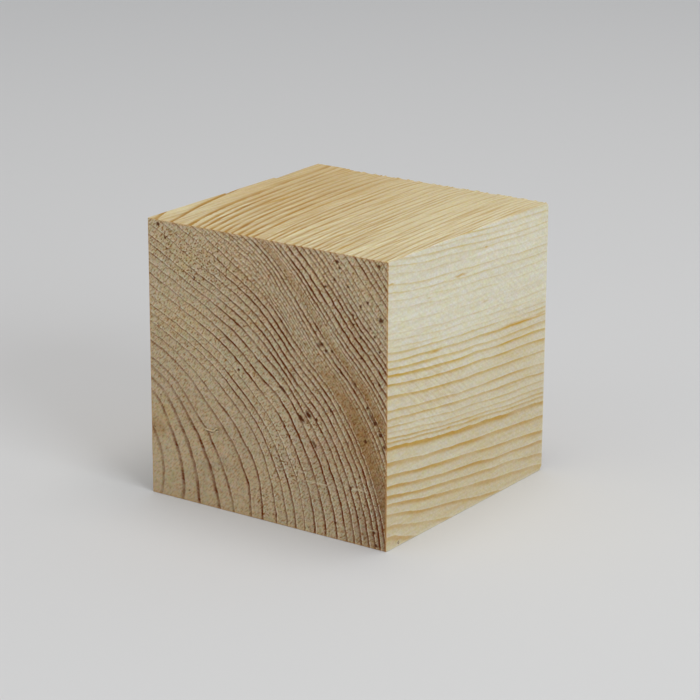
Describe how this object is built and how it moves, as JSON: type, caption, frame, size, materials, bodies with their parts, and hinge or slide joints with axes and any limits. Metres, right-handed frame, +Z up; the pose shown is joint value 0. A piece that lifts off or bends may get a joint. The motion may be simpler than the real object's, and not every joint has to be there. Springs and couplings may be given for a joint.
{
  "type": "wooden cube",
  "caption": "Solid softwood cube with crisp arrises, end grain on the front and back faces, and flat faces to rest, stack or glue on.",
  "frame": {"origin": "centre of the base face, which the cube rests on", "axes": "+Z up out of the top face; the grain runs along Y, so -Y looks out of the front end-grain face and +X out of the right long-grain face"},
  "size_m": [0.05, 0.05, 0.05],
  "materials": {
    "pine": "bare, fine-sawn and lightly sanded"
  },
  "bodies": {
    "root": {"wooden_cube": "pine"}
  },
  "joints": []
}
